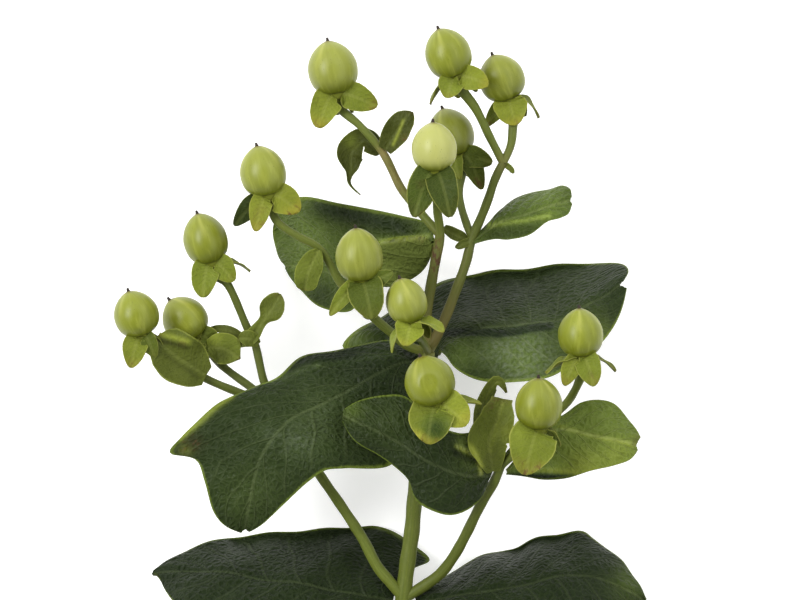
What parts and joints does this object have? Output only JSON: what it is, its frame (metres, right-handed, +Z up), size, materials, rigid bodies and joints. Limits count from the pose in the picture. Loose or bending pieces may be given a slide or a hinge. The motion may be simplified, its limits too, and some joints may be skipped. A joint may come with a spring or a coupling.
{
  "type": "hypericum berry stem",
  "caption": "Cut stem of hypericum lying down: branching stalks with green egg-shaped berries in leafy cups, and broad dark-green leaves.",
  "frame": {"origin": "on the surface it lies on, under the middle of the whole stem's box", "axes": "+Z up from the surface; +Y along the stem, from the cut end to the berries; +X to the right as seen from above"},
  "size_m": [0.1284, 0.2198, 0.0565],
  "materials": {
    "stem": "satin",
    "leaf": "satin",
    "small_leaf": "satin",
    "calyx": "satin",
    "berry": "gloss"
  },
  "bodies": {
    "root": {"berry_01": "berry", "berry_02": "berry", "berry_03": "berry", "berry_04": "berry", "berry_05": "berry", "berry_06": "berry", "berry_07": "berry", "berry_08": "berry", "berry_09": "berry", "berry_10": "berry", "berry_11": "berry", "berry_12": "berry", "berry_13": "berry", "berry_14": "berry", "bract_01_left": "small_leaf", "bract_01_right": "small_leaf", "bract_02": "small_leaf", "bract_03_left": "small_leaf", "bract_03_low": "small_leaf", "bract_03_right": "small_leaf", "bract_04": "small_leaf", "bract_05": "small_leaf", "bract_06": "small_leaf", "bract_08": "small_leaf", "bract_09": "small_leaf", "bract_13_thin": "small_leaf", "bract_13_wide": "small_leaf", "calyx_01": "calyx", "calyx_02": "calyx", "calyx_03": "calyx", "calyx_04": "calyx", "calyx_05": "calyx", "calyx_06": "calyx", "calyx_07": "calyx", "calyx_08": "calyx", "calyx_09": "calyx", "calyx_10": "calyx", "calyx_11": "calyx", "calyx_12": "calyx", "calyx_13": "calyx", "calyx_14": "calyx", "leaf_centre": "leaf", "leaf_front": "leaf", "leaf_lower_left": "leaf", "leaf_lower_right": "leaf", "leaf_right": "leaf", "leaf_upper_left": "leaf", "leaf_upper_right": "leaf", "leaf_upper_small": "leaf", "stem": "stem"}
  },
  "joints": []
}
